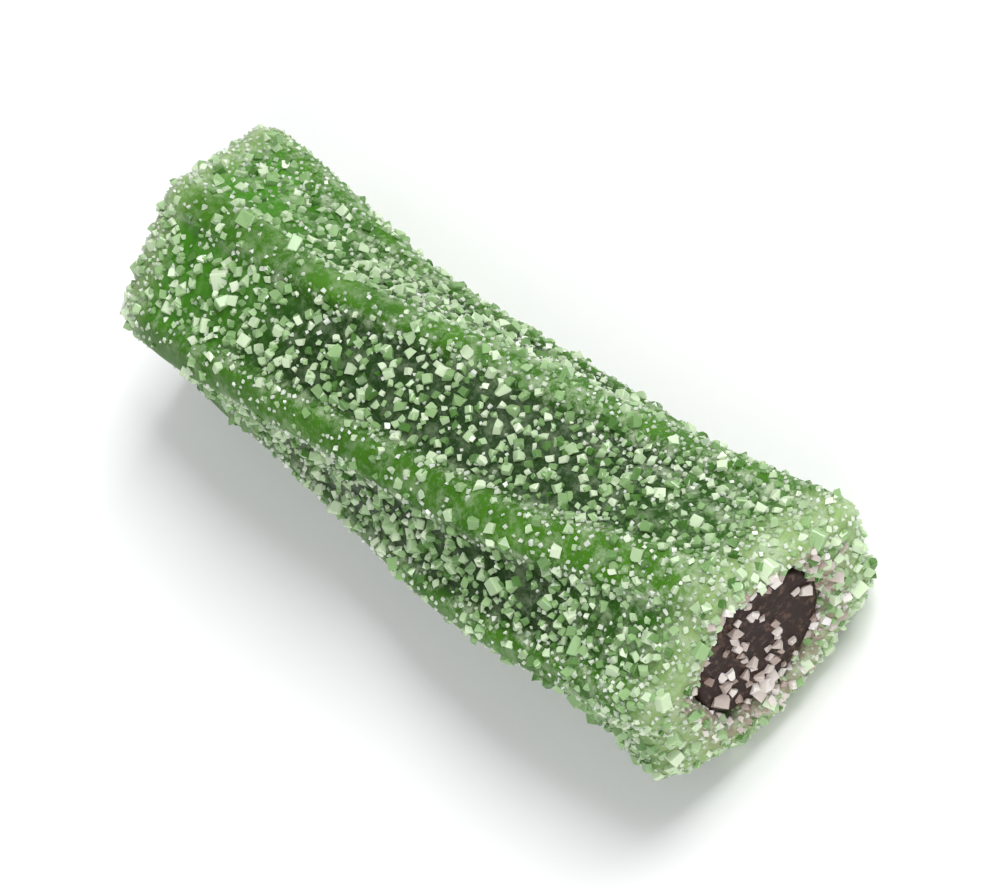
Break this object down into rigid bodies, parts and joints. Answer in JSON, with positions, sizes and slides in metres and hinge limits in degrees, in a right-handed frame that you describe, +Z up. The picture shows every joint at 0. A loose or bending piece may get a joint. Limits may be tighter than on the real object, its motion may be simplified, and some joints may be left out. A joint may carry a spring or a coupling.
{
  "type": "filled licorice",
  "caption": "Short piece of twisted, ribbed green licorice rope with a soft dark filling showing at both squeezed ends, coated in sour sugar crystals.",
  "frame": {"origin": "on the table under the middle of the piece, at the bottom centre of its bounding box", "axes": "+X along the piece towards the wider end, which shows the filling; +Z up; the piece lies on its flattened belly"},
  "size_m": [0.0367, 0.0137, 0.0097],
  "materials": {
    "green_licorice": "translucent chewy green licorice, glossy on the ribs, rolled in white sour sugar",
    "dark_filling": "soft purple-brown filling, satin, with a few sugar grains",
    "sour_sugar": "coarse and fine sour sugar crystals, translucent white with a faint green tint where they lie on the sheath"
  },
  "bodies": {
    "root": {"sheath": "green_licorice", "filling": "dark_filling"}
  },
  "joints": []
}
